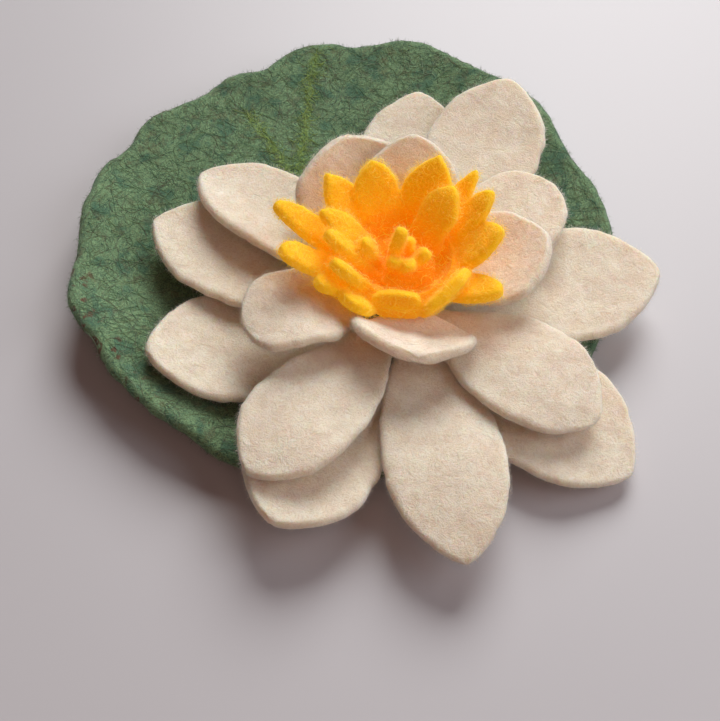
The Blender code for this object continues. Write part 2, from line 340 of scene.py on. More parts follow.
PETALS = (
    PetalCut("outer_petal_1", 1, 86, 58, 26, 4, 10, 5, widest=0.62),
    PetalCut("outer_petal_2", 1, 197, 53, 27.5, 7, 16, 2, swing=-6, roll=3, flat=0.02, lift=0.33,
             waist=2.5, point=3.0),
    PetalCut("outer_petal_3", 1, 243, 55.5, 25.5, 7, 12, 3, roll=-2, lift=0.32, widest=0.66,
             waist=2.4, point=3.0),
    PetalCut("outer_petal_4", 1, 318, 55.5, 28, 5, -15, 6, swing=4, waist=2.4),
    PetalCut("outer_petal_5", 1, 11, 52.6, 29, 8, 5, 5, swing=-6.5, waist=2.2, point=2.6),
    PetalCut("outer_petal_6", 2, 64, 61, 25.5, 8, 14, 4, swing=5, widest=0.66),
    PetalCut("outer_petal_7", 2, 161, 55.5, 27.5, 7, 5, 6, swing=-2, roll=6, flat=0.05,
             lift=0.34),
    PetalCut("outer_petal_8", 2, 280, 57, 23.5, 10, -15, -4, widest=0.62, waist=1.1, point=2.6),
    PetalCut("middle_petal_1", 3, 321, 45.5, 23, 12, -24, -4, swing=2, waist=1.3, point=3.0),
    PetalCut("middle_petal_2", 3, 40, 41, 22, 10, 4, 8, point=3.6),
    PetalCut("middle_petal_3", 3, 139, 52, 23, 12, 0, 11, swing=15, roll=12, flat=0.11,
             point=3.0),
    PetalCut("middle_petal_4", 3, 239, 50.3, 22, 11, -6, 6, swing=-11, widest=0.64, waist=1.4,
             point=3.0),
    PetalCut("inner_petal_1", 4, 116, 36.5, 29, 38, 42, 14, swing=-8, roll=3, flat=0.3, lift=0.2,
             waist=2.2, point=2.6),
    PetalCut("inner_petal_2", 4, 12, 30, 22, 22, 18, 16, swing=10, point=2.3),
    PetalCut("inner_petal_3", 4, 200, 34, 20, 25, -16, 8, swing=-2, roll=7, flat=0.04,
             widest=0.56, waist=3.2, point=5.0),
    PetalCut("inner_petal_4", 5, 273, 21.2, 25.5, 36, 24, 16, swing=2, roll=-13, flat=0.36,
             lift=0.17, widest=0.54, waist=2.6, point=2.2),
    PetalCut("inner_petal_5", 5, 87, 32.5, 19, 46, 38, 4, flat=0.31, lift=0.12),
)


@dataclass
class FeltPetal:
    """One petal cut from cream felt, with a soft cut edge."""

    cut: PetalCut
    seed: int
    rows: int = 68
    columns: int = 24
    stations: int = 200
    crowding: float = 1.4               # how much the rows crowd towards the tip
    edge_round: float = 1.25
    edge_reach: float = 2.5
    outline_wobble: float = 0.45
    wobble_size: float = 5.0
    nibble: float = 0.22
    nibble_size: float = 1.6
    edge_places: tuple[float, float] = (0.0, 50.0)  # where each edge's noise is read
    calm_root: float = 0.3              # the outline strays less in this share of the length
    calm_tip: float = 4.0               # and in the last millimetres
    sway: float = 0.35
    sway_size: float = 9.0
    still_root: float = 0.4             # the felt sways less in this share of the length
    tip_cut: float = 0.7
    tip_round: float = 1.5
    felt: float = PETAL_FELT - 0.1
    ruffles: tuple[Bumps, ...] = ((0.15, 3.6, 0.0), (0.07, 1.4, 0.7))

    def build(self, material: bpy.types.Material) -> bpy.types.Object:
        """Cut, bend and dress the petal.

        Args:
            material: the cream felt.

        Returns:
            The finished piece, which replaces its solid.
        """
        petal = add_sheet(self.cut.name + "_felt", self.rows, self.columns)
        flat = read_points(petal.data)
        share = crowd(flat[:, 0], self.crowding) * (1.0 - self.tip_cut / self.cut.length)
        across = np.sin(math.pi / 2 * np.clip(flat[:, 1], -1.0, 1.0))
        left = (1.0 - share) * self.cut.length - self.tip_cut
        stray = self.outline(share, across) * smooth(left / self.calm_tip)
        half = (self.cut.half_width(share) + stray) * rounding(left, self.tip_round)
        write_points(petal.data, self.bend(share, across, half) * MM)
        depth = np.minimum((1.0 - np.abs(across)) * half, left)
        paint(petal.data, "edge", 1.0 - np.clip(depth / self.edge_reach, 0.0, 1.0))
        merge_doubles(petal, WELD)
        depth = (1.0 - read_paint(petal.data, "edge")) * self.edge_reach
        give_thickness(petal, self.felt, rounded_edge(depth, self.edge_round))
        ruffle(petal, self.seed, self.ruffles)
        finish_piece(petal, Slot.CREAM, material, self.cut.name)
        return petal

    def outline(self, share: np.ndarray, across: np.ndarray) -> np.ndarray:
        """Return how far the hand-cut edge strays from the pattern, in millimetres."""
        strays = []
        strays = []
        for place in self.edge_places:
            along = np.zeros((len(share), 3))
            along[:, 0] = share * self.cut.length
            along[:, 1] = place
            wobble = unevenness(along, self.wobble_size, self.seed + 0.5) * self.outline_wobble
            strays.append(wobble + unevenness(along, self.nibble_size, self.seed) * self.nibble)
        left, right = strays
        return np.where(across > 0.0, left, right) * np.abs(across) * smooth(share / self.calm_root)

    def bend(self, share: np.ndarray, across: np.ndarray, half: np.ndarray) -> np.ndarray:
        """Return where each point of the flat pattern lies in the flower, in millimetres.

        Args:
            share: each point's share of the petal's length.
            across: from -1 on the right edge to 1 on the left one.
            half: the half width there.

        Returns:
            The points of the felt's middle.
        """
        tables = self.cut.midline(self.stations)
        steps = np.linspace(0.0, 1.0, self.stations + 1)
        place, side, normal = (
            np.stack([np.interp(share, steps, table[:, axis]) for axis in range(3)], 1)
            for table in tables)
        cup = math.radians(self.cut.cup)
        bend = cup * smooth((share - self.cut.flat / 2 - CUP_START) / CUP_LENGTH)
        bend = np.where(np.abs(bend) < 0.001, 0.001, bend)
        radius = half / bend
        sideways = radius * np.sin(bend * across)
        upward = radius * (1.0 - np.cos(bend * across))
        points = place + side * sideways[:, None] + normal * upward[:, None]
        sway = unevenness(points, self.sway_size, self.seed + 0.25) * self.sway
        return points + normal * (sway * smooth(share / self.still_root))[:, None]


@dataclass
class LilyPad:
    """The green pad, flat under the flower and raised at its wavy rim."""

    middle: tuple[float, float] = (-12.0, 18.0)
    radii: tuple[float, ...] = (
        57, 56.5, 58.5, 58.5, 58.5, 55, 54, 56, 57, 58.5, 57.5, 57, 54, 54, 56, 56)
    rim_rise: tuple[float, ...] = (2.5, 5, 6, 6, 6, 6, 6, 7, 8.5, 10, 8.5, 5, 2, 0.5, 0, 0.5)
    rim_spare: float = 0.9
    rim_bumps: tuple[Bumps, ...] = ((0.35, 2.5, 8.0), (0.15, 1.0, 9.0))
    nicks: tuple[tuple[float, float, float], ...] = (
        (28, -2.0, 9), (74, 1.8, 7), (88, -1.4, 5), (101, 0.8, 6), (112, -1.7, 5), (120, 0.9, 4),
        (130, -0.7, 4), (144, 1.3, 5), (153, -0.9, 4), (161, 0.8, 5), (184, -1.1, 7), (200, 0.5, 6),
        (209, -1.3, 5), (222, -0.7, 8), (236, -1.3, 6))   # angle, height and width
    veins: tuple[tuple[tuple[float, float], ...], ...] = (
        ((-22.5, 35), (-23.6, 37.4), (-26.5, 42.6), (-31, 50), (-35.5, 56)),
        ((-23.6, 37.4), (-23.1, 44.2), (-20.8, 71.2), (-19.4, 73.8)))
    vein_width: float = 0.9
    rust_middle: float = -152.0
    rust_reach: float = 14.0
    rust_width: float = 7.0
    rust_fade: float = 12.0             # degrees
    flat_share: float = 0.45
    curve_power: float = 1.8
    ripples: int = 11
    ripple_height: float = 0.7
    swell: float = 0.35
    swell_size: float = 7.0
    swell_start: float = 0.5            # a share of the radius, as the next
    swell_length: float = 0.4
    rings: int = 46
    spokes: int = 260
    crowding: float = 1.3               # how much the rings crowd towards the rim
    edge_round: float = 1.4
    edge_reach: float = 3.0
    ruffles: tuple[Bumps, ...] = ((0.06, 2.2, 0.0),)
    seed: float = 3.0

    def build(self, material: bpy.types.Material) -> bpy.types.Object:
        """Lay and dress the pad.

        Args:
            material: the green felt.

        Returns:
            The finished piece, which replaces its solid.
        """
        pad = add_sheet("lily_pad_felt", self.rings, self.spokes)
        flat = read_points(pad.data)
        share = crowd(flat[:, 0], self.crowding)
        angle = math.pi * np.clip(flat[:, 1], -1.0, 1.0)
        write_points(pad.data, self.lay(share, angle) * MM)
        merge_doubles(pad, PAD_WELD)
        points = read_points(pad.data) / MM
        depth = self.depth(points)
        paint(pad.data, "edge", 1.0 - np.clip(depth / self.edge_reach, 0.0, 1.0))
        paint(pad.data, "vein", self.vein(points))
        paint(pad.data, "rust", self.rust(points))
        give_thickness(pad, PAD_FELT - 0.1, rounded_edge(depth, self.edge_round))
        ruffle(pad, self.seed, self.ruffles)
        self.keep_off_the_table(pad)
        finish_piece(pad, Slot.GREEN, material, "lily_pad")
        return pad

    def radius(self, angle: np.ndarray) -> np.ndarray:
        """Return the pad's radius, in millimetres, at an angle from its middle."""
        radius = round_the_rim(self.radii, angle) + self.rim_spare
        for middle, height, width in self.nicks:
            radius = radius + height * np.exp(-((degrees_from(middle, angle) / width) ** 2))
        rim = np.stack([np.cos(angle), np.sin(angle), angle * 0.0], 1) * self.radii[0]
        for height, size, seed in self.rim_bumps:
            radius = radius + unevenness(rim, size, seed) * height
        return radius

    def lay(self, share: np.ndarray, angle: np.ndarray) -> np.ndarray:
        """Return the points of the pad's middle sheet, in millimetres.

        Args:
            share: each point's share of the radius.
            angle: its angle from the pad's middle, in radians.

        Returns:
            The points where they lie under the flower.
        """
        plain = round_the_rim(self.radii, angle)
        radius = (plain + (self.radius(angle) - plain) * share ** 4) * share
        raised = np.maximum(0.0, (share - self.flat_share) / (1.0 - self.flat_share))
        rise = round_the_rim(self.rim_rise, angle)
        ripple = self.ripple_height * np.sin(self.ripples * angle) * rise / max(self.rim_rise)
        height = PAD_FELT / 2 + (rise + ripple) * raised ** self.curve_power
        x = self.middle[0] + radius * np.cos(angle)
        y = self.middle[1] + radius * np.sin(angle)
        points = np.stack([x, y, height], 1)
        outward = smooth((share - self.swell_start) / self.swell_length)
        points[:, 2] += unevenness(points, self.swell_size, 5.0) * self.swell * outward * raised
        return points

    def seen_from_the_middle(self, points: np.ndarray) -> tuple[np.ndarray, np.ndarray]:
        """Return each point's angle, in radians, and its distance from the pad's middle."""
        x, y = points[:, 0] - self.middle[0], points[:, 1] - self.middle[1]
        return np.arctan2(y, x), np.hypot(x, y)

    def depth(self, points: np.ndarray) -> np.ndarray:
        """Return how far each point lies inside the rim, in millimetres."""
        angle, distance = self.seen_from_the_middle(points)
        return np.maximum(self.radius(angle) - distance, 0.0)

    def vein(self, points: np.ndarray) -> np.ndarray:
        """Return how strongly each point is marked by the lime wool of a vein."""
        strength = np.zeros(len(points))
        for line in self.veins:
            for start, end in zip(line, line[1:]):
                start, end = np.array(start, dtype=float), np.array(end, dtype=float)
                span = end - start
                along = np.clip((points[:, :2] - start) @ span / (span @ span), 0.0, 1.0)
                away = np.hypot(*(points[:, :2] - start - along[:, None] * span).T)
                strength = np.maximum(strength, np.exp(-((away / self.vein_width) ** 2)))
        return strength

    def rust(self, points: np.ndarray) -> np.ndarray:
        """Return how much brown wool each point has: most on the rim at the front left."""
        away = np.abs(degrees_from(self.rust_middle, self.seen_from_the_middle(points)[0]))
        near_rim = np.clip(1.0 - self.depth(points) / self.rust_width, 0.0, 1.0)
        return near_rim * (1.0 - smooth((away - self.rust_reach) / self.rust_fade))

    @staticmethod
    def keep_off_the_table(pad: bpy.types.Object) -> None:
        """Keep the underside from dipping through the table."""
        points = read_points(pad.data)
        points[:, 2] = np.maximum(points[:, 2], TABLE_GAP)
        write_points(pad.data, points)


@dataclass(frozen=True)
class Tongue:
    """One cut tongue of a fringe. The fields are those of the solid."""

    azimuth: float
    foot: float
    reach: float
    height: float
    width: float
    swing: float = 0.0
    bulge: float = 0.5
    point: float = 0.5


def add_disc(radius: float, height: float, sides: int) -> bpy.types.Object:
    """Add a low round disc that stands on the fringes' foot, in their middle.

    Args:
        radius: its radius, in millimetres.
        height: its height, in millimetres.
        sides: how many flat sides it has.

    Returns:
        The disc.
    """
    deselect_all()
    bpy.ops.mesh.primitive_cylinder_add(
        vertices=sides, radius=radius * MM, depth=height * MM,
        location=(FRINGE_MIDDLE[0] * MM, FRINGE_MIDDLE[1] * MM, (FRINGE_FOOT + height / 2) * MM))
    bpy.ops.object.transform_apply(location=True, rotation=True, scale=True)
    return bpy.context.object


@dataclass
class Fringe:
    """A rolled strip of golden felt, cut into tongues above a low wall."""

    name: str
    tongues: tuple[Tongue, ...]
    seed: float
    radius: float = 0.0
    height: float = 0.0
    flare: float = 0.0
    voxel: float = 0.36
    smoothing: int = 4
    floor_height: float = 2.6
    sides: int = 20
    rings: int = 22
    wall_sides: int = 72
    foot_rounding: float = 0.26
    knee_height: float = 0.5
    knee_bulge: float = 0.35
    flatness: float = 0.55
    sharpness: float = 1.35
    raggedness: float = 0.16
    ragged_size: float = 3.0
    painted_shade_height: float = 16.0           # from here up the gold has no painted shade of dark orange
    outside_start: float = 9.5          # outside this radius the painted shade on the gold is weaker
    outside_width: float = 4.0
    outside_lift: float = 0.5
    ruffles: tuple[Bumps, ...] = ((0.10, 1.5, 0.0), (0.05, 0.6, 3.0))

    def build(self, material: bpy.types.Material) -> bpy.types.Object:
        """Shape, fuse and dress the fringe.

        Args:
            material: the golden felt.

        Returns:
            The finished piece, which replaces its solid.
        """
        pieces = self.wall() + [self.tongue(tongue) for tongue in self.tongues]
        deselect_all()
        for piece in pieces:
            piece.select_set(True)
        bpy.context.view_layer.objects.active = pieces[0]
        bpy.ops.object.join()
        fringe = bpy.context.object
        fringe.name = self.name + "_felt"
        fringe.data.name = fringe.name
        bpy.ops.object.transform_apply(location=True, rotation=True, scale=True)
        rough_points = read_points(fringe.data)
        rough_rims = read_paint(fringe.data, "rim")
        fringe.data.remesh_voxel_size = self.voxel * MM
        bpy.ops.object.voxel_remesh()
        apply_modifier(fringe, "SMOOTH", factor=0.5, iterations=self.smoothing)
        points = read_points(fringe.data)
        rims = self.nearest(rough_points, rough_rims, points)
        # The rim mask carries the gold's painted highlight; painted as edge it also places the wool.
        paint(fringe.data, "rim", rims)
        paint(fringe.data, "edge", rims)
        # The height mask carries painted shade: low and inner gold gets the dark orange.
        reach = np.hypot(*(points[:, :2] / MM - FRINGE_MIDDLE).T)
        outside = smooth((reach - self.outside_start) / self.outside_width)
        risen = (points[:, 2] / MM - FRINGE_FOOT) / self.painted_shade_height
        paint(fringe.data, "height", risen + self.outside_lift * outside)
        ruffle(fringe, self.seed, self.ruffles)
        finish_piece(fringe, Slot.GOLDEN, material, self.name)
        return fringe

    @staticmethod
    def nearest(places: np.ndarray, values: np.ndarray, points: np.ndarray) -> np.ndarray:
        """Carry painted numbers over to new points, from the nearest old ones.

        Args:
            places: the old points.
            values: the number painted on each.
            points: the new points.

        Returns:
            A number for each new point.
        """
        tree = KDTree(len(places))
        for number, place in enumerate(places):
            tree.insert(place, number)
        tree.balance()
        return np.array([
            sum(values[number] for _, number, _ in tree.find_n(point, 3)) / 3 for point in points])

    def wall(self) -> list[bpy.types.Object]:
        """Add the low wall as a ring that leans out a little at its top, and the felt inside it."""
        deselect_all()
        bpy.ops.mesh.primitive_cylinder_add(
            vertices=self.wall_sides, radius=1.0, depth=1.0, end_fill_type="NOTHING")
        ring = bpy.context.object
        points = read_points(ring.data)
        turn = np.arctan2(points[:, 1], points[:, 0])
        share = points[:, 2] + 0.5
        reach = (self.radius + self.flare * share) * MM
        points[:, 0] = FRINGE_MIDDLE[0] * MM + reach * np.cos(turn)
        points[:, 1] = FRINGE_MIDDLE[1] * MM + reach * np.sin(turn)
        points[:, 2] = (FRINGE_FOOT + self.height * share) * MM
        write_points(ring.data, points)
        apply_modifier(ring, "SOLIDIFY", thickness=FRINGE_FELT * MM, offset=0.0)
        return [ring, add_disc(self.radius, self.floor_height, self.wall_sides)]

    def tongue(self, tongue: Tongue) -> bpy.types.Object:
        """Shape a ball into one tongue: a flat strip with round edges, bent up and out.

        Args:
            tongue: its place, reach and outline.

        Returns:
            The tongue as an object of its own, sunk into the wall at its foot.
        """
        deselect_all()
        bpy.ops.mesh.primitive_uv_sphere_add(segments=self.sides, ring_count=self.rings, radius=1.0)
        ball = bpy.context.object
        sphere = read_points(ball.data)
        share = (0.5 + 0.5 * sphere[:, 2])[:, None]
        ring = np.hypot(sphere[:, 0], sphere[:, 1])
        turn = np.arctan2(sphere[:, 1], sphere[:, 0])
        foot_out = level_direction(tongue.azimuth)
        tip_out = level_direction(tongue.azimuth + tongue.swing)
        foot = foot_out * tongue.foot
        tip = tip_out * tongue.reach
        tip[2] = tongue.height - FRINGE_FOOT
        knee = (foot + tip) / 2
        knee[2] = tip[2] * (self.knee_height + self.knee_bulge * tongue.bulge)
        low = foot + (knee - foot) * share
        high = knee + (tip - knee) * share
        place = low + (high - low) * share
        out = foot_out + (tip_out - foot_out) * share
        side = unit(np.stack([-out[:, 1], out[:, 0], out[:, 2] * 0.0], 1))
        face = unit(np.cross(side, low - high))
        wide_part = np.maximum(ring, 1e-6)
        full = wide_part ** self.foot_rounding
        taper = wide_part ** (2.0 * tongue.point * self.sharpness - self.foot_rounding)
        taper = np.where(share[:, 0] < 0.5, 1.0, taper)
        squared = squarer(np.cos(turn), self.flatness)
        ragged = self.ragged(share[:, 0], squared, tongue)
        wide = squared * full * taper * tongue.width / 2 * ragged
        thick = squarer(np.sin(turn), self.flatness) * full * FRINGE_FELT / 2
        points = place + side * wide[:, None] + face * thick[:, None]
        points += np.array([*FRINGE_MIDDLE, FRINGE_FOOT])
        write_points(ball.data, points * MM)
        # This rim mask marks the tongues' side edges and tips; on the gold it carries a painted
        # highlight.
        edge = np.abs(np.cos(turn)) ** 3 * smooth((share[:, 0] - 0.3) / 0.3)
        paint(ball.data, "rim", np.maximum(edge, smooth((share[:, 0] - 0.72) / 0.25)))
        return ball

    def ragged(self, share: np.ndarray, side: np.ndarray, tongue: Tongue) -> np.ndarray:
        """Return how much wider or narrower a hand-cut tongue is than its pattern.

        Args:
            share: each point's share of the tongue's height.
            side: negative on its right and positive on its left.
            tongue: the tongue, whose azimuth picks the pattern.

        Returns:
            A factor near 1.
        """
        along = np.zeros((len(share), 3))
        along[:, 0] = share * (tongue.height - FRINGE_FOOT)
        along[:, 1] = np.sign(side) * 7.0
        along[:, 2] = tongue.azimuth
        return 1.0 + unevenness(along, self.ragged_size, self.seed) * self.raggedness


@dataclass
class StamenHeart(Fringe):
    """The small knob in the middle, with a few short fingers."""

    knob_radius: float = 2.3
    knob_height: float = 4.0
    knob_sides: int = 32

    def wall(self) -> list[bpy.types.Object]:
        """Add the knob that the fingers grow from."""
        return [add_disc(self.knob_radius, self.knob_height, self.knob_sides)]


OUTER_TONGUES = (
    Tongue(6, 9, 19.5, 28, 8.5),
    Tongue(28, 9, 20, 30.5, 6),
    Tongue(45, 9, 21, 30.5, 4),
    Tongue(78, 9, 18.2, 33, 9.5, swing=-12, point=0.8),
    Tongue(113, 9, 17.3, 32, 9.5, swing=-2, point=0.6),
    Tongue(141, 9, 21, 30, 8.5, swing=-4, point=0.8),
    Tongue(165, 9, 26, 30, 6.5, bulge=0.2, point=0.4),
    Tongue(194, 10, 24, 27.5, 6.5, swing=-8, bulge=0.2, point=0.3),
    Tongue(204, 10, 18.6, 23.5, 5.5, bulge=0.2, point=0.3),
    Tongue(226, 10, 15.8, 22.4, 8.5, bulge=0.2, point=0.4),
    Tongue(239, 8.6, 14.8, 27, 4.4, swing=-38, bulge=0.4, point=0.3),
    Tongue(264, 10.8, 9.2, 23, 10, bulge=0.9, point=0.4),
    Tongue(308, 10.8, 13.6, 24.8, 11, swing=18, bulge=0.7, point=0.7),
    Tongue(334, 9, 21.2, 23, 7, bulge=0.2, point=0.4),
)

INNER_TONGUES = (
    Tongue(46, 4.4, 14.6, 30.5, 8, bulge=0.7),
    Tongue(163, 4.4, 17, 29.8, 5.5, bulge=0.9),
    Tongue(184, 4.4, 8.4, 27.5, 3.6, bulge=1.0, point=0.3),
    Tongue(217, 5.2, 15.2, 29, 4.4, swing=-38, bulge=0.6, point=0.3),
)

HEART_FINGERS = (
    Tongue(160, 2.0, 0.3, 30.2, 3.6, point=0.3),
    Tongue(338, 0.9, 5.4, 25.6, 3.4, bulge=0.8, point=0.3),
    Tongue(244, 1.0, 4.9, 24.8, 3.6, bulge=1.6, point=0.3),
    Tongue(284, 1.0, 5.4, 24.3, 3.4, bulge=1.8, point=0.3),
    Tongue(60, 0.6, 2.8, 25.0, 3.2, bulge=1.0, point=0.3),
)


@dataclass(frozen=True)
class FibreStyle:
    """One kind of loose wool. Lengths are in millimetres."""

    count: int
    shortest: float
    longest: float
    thickness: float
    joints: int
    curl: float         # degrees that a fibre turns from end to end
    stand: float        # 0 lies along the felt, 1 stands straight out of it
    lift: float = 0.2   # how high the middle of a lying fibre rises


Weight = Callable[[np.ndarray, np.ndarray, np.ndarray], np.ndarray]


class LooseWool:
    """Wool fibres on pieces of felt, as thin closed tubes in one mesh.

    Thousands of thin curls can't be modelled with operators in the time there is, so their
    points are worked out as arrays and made a mesh at once.
    """

    def __init__(self, name: str, seed: int) -> None:
        """Start an empty tuft with its own seeded draw."""
        self.name = name
        self.draw = np.random.default_rng(seed)
        self.points: list[np.ndarray] = []
        self.sides: list[np.ndarray] = []
        self.radii: list[np.ndarray] = []
        self.tints: list[np.ndarray] = []

    def grow(self, felt: bpy.types.Object, style: FibreStyle, weight: Weight | None = None) -> None:
        """Grow fibres of one kind on a piece of felt.

        Args:
            felt: the finished piece.
            style: how many fibres and how they look.
            weight: how densely they stand, from each face's middle, normal and edge share.
        """
        mesh = felt.data
        mesh.calc_loop_triangles()
        corners = read_points(mesh)
        faces = np.empty(len(mesh.loop_triangles) * 3, dtype=int)
        mesh.loop_triangles.foreach_get("vertices", faces)
        faces = faces.reshape(-1, 3)
        spots = corners[faces]
        cross = np.cross(spots[:, 1] - spots[:, 0], spots[:, 2] - spots[:, 0])
        area = np.linalg.norm(cross, axis=1)
        normals = cross / np.maximum(area, 1e-15)[:, None]
        share = area.copy()
        if weight is not None:
            edge = read_paint(mesh, "edge")[faces].mean(axis=1)
            share = share * weight(spots.mean(axis=1) / MM, normals, edge)
        chosen = self.draw.choice(len(faces), size=style.count, p=share / share.sum())
        mix = self.draw.dirichlet((1.0, 1.0, 1.0), size=style.count)
        roots = (spots[chosen] * mix[:, :, None]).sum(axis=1)
        out = normals[chosen]
        aside = self.draw.normal(size=(style.count, 3))
        aside = unit(aside - out * (aside * out).sum(axis=1, keepdims=True))
        length = self.draw.uniform(style.shortest, style.longest, style.count) * MM
        if style.stand < 0.05:
            tree = BVHTree.FromPolygons(corners.tolist(), faces.tolist())
            path = self.lying(tree, roots, out, aside, length, style)
        else:
            path = self.standing(roots, out, aside, length, style)
        self.points.append(path)
        self.sides.append(np.repeat(out[:, None, :], style.joints + 1, axis=1))
        taper = np.sin(np.linspace(0.35, math.pi - 0.25, style.joints + 1)) ** 0.5
        self.radii.append(np.outer(np.full(style.count, style.thickness * MM / 2), taper))
        self.tints.append(np.repeat(self.draw.random(style.count), 3 * style.joints + 1))

    def lying(
        self, tree: BVHTree, roots: np.ndarray, out: np.ndarray, aside: np.ndarray,
        length: np.ndarray, style: FibreStyle,
    ) -> np.ndarray:
        """Return curls that follow the felt, with both ends sunk into it.

        Args:
            tree: the felt's faces.
            roots: where the fibres start.
            out: the felt's normal there.
            aside: the way each fibre sets off, along the felt.
            length: each fibre's length, in metres.
            style: how they look.

        Returns:
            The fibres' points: fibre, joint, axis.
        """
        count = len(roots)
        turn = np.radians(self.draw.uniform(-style.curl, style.curl, count)) / style.joints
        path = np.empty((count, style.joints + 1, 3))
        for number in range(count):
            place, normal = Vector(roots[number]), Vector(out[number])
            ahead = Vector(aside[number])
            step = length[number] / style.joints
            height = style.lift * MM * self.draw.uniform(0.4, 1.3)
            for joint in range(style.joints + 1):
                rise = height * math.sin(math.pi * joint / style.joints) - 0.00002
                path[number, joint] = place + normal * rise
                found, facing, _, _ = tree.find_nearest(place + ahead * step)
                if found is None:
                    path[number, joint:] = path[number, joint]
                    break
                place, normal = found, facing
                ahead = ahead - normal * ahead.dot(normal)
                spin = normal.cross(ahead) * math.sin(turn[number])
                ahead = (ahead * math.cos(turn[number]) + spin).normalized()
        return path

    def standing(
        self, roots: np.ndarray, out: np.ndarray, aside: np.ndarray, length: np.ndarray,
        style: FibreStyle,
    ) -> np.ndarray:
        """Return fibres that stand off the felt and bend over.

        Args:
            roots: where the fibres start.
            out: the felt's normal there.
            aside: a way along the felt for each fibre.
            length: each fibre's length, in metres.
            style: how they look.

        Returns:
            The fibres' points: fibre, joint, axis.
        """
        count = len(roots)
        lean = self.draw.uniform(0.0, 1.0, count)[:, None] * (1.0 - style.stand) * 2.0
        ahead = unit(out + aside * lean)
        around = unit(np.cross(ahead, self.draw.normal(size=(count, 3))))
        turn = np.radians(self.draw.uniform(0.2, 1.0, count) * style.curl) / style.joints
        step = (length / style.joints)[:, None]
        place = roots - out * 0.00005
        path = [place]
        for _ in range(style.joints):
            place = place + ahead * step
            path.append(place)
            ahead = ahead * np.cos(turn)[:, None] + np.cross(around, ahead) * np.sin(turn)[:, None]
        return np.stack(path, axis=1)

    def weave(self, slot: Slot, material: bpy.types.Material) -> bpy.types.Object:
        """Make all fibres one mesh and dress it.

        Args:
            slot: the finish that the record names; not used.
            material: the wool.

        Returns:
            The tuft.
        """
        corners, faces, first = [], [], 0
        for path, side, radius in zip(self.points, self.sides, self.radii):
            rings = self.rings(path, side, radius)
            count, joints = rings.shape[0], rings.shape[1] - 1
            own = 3 * joints + 1
            start = first + np.arange(count) * own
            index = start[:, None, None] + np.arange(3 * joints).reshape(joints, 3)
            low, high = index[:, :-1], index[:, 1:]
            walls = np.stack(
                [low, np.roll(low, -1, axis=2), np.roll(high, -1, axis=2), high], axis=-1)
            top = index[:, -1]
            tip = np.repeat((start + own - 1)[:, None], 3, axis=1)
            faces += walls.reshape(-1, 4).tolist()
            faces += np.stack([top, np.roll(top, -1, axis=1), tip], axis=-1).reshape(-1, 3).tolist()
            faces += index[:, 0, ::-1].tolist()
            body = rings[:, :-1].reshape(count, 3 * joints, 3)
            corners.append(np.concatenate([body, path[:, -1:]], axis=1).reshape(-1, 3))
            first += count * own
        mesh = bpy.data.meshes.new(self.name)
        mesh.from_pydata(np.concatenate(corners).tolist(), [], faces)
        paint(mesh, "tint", np.concatenate(self.tints))
        tuft = bpy.data.objects.new(self.name, mesh)
        bpy.context.scene.collection.objects.link(tuft)
        finish_piece(tuft, slot, material)
        return tuft

    @staticmethod
    def rings(path: np.ndarray, side: np.ndarray, radius: np.ndarray) -> np.ndarray:
        """Return three corners round each point of each fibre."""
        ahead = unit(np.gradient(path, axis=1))
        first = unit(np.cross(ahead, side + ahead[:, :, [1, 2, 0]] * 0.3))
        second = np.cross(ahead, first)
        corners = []
        for turn in (0.0, math.tau / 3, math.tau * 2 / 3):
            around = first * math.cos(turn) + second * math.sin(turn)
            corners.append(path + around * radius[:, :, None])
        return np.stack(corners, axis=2)


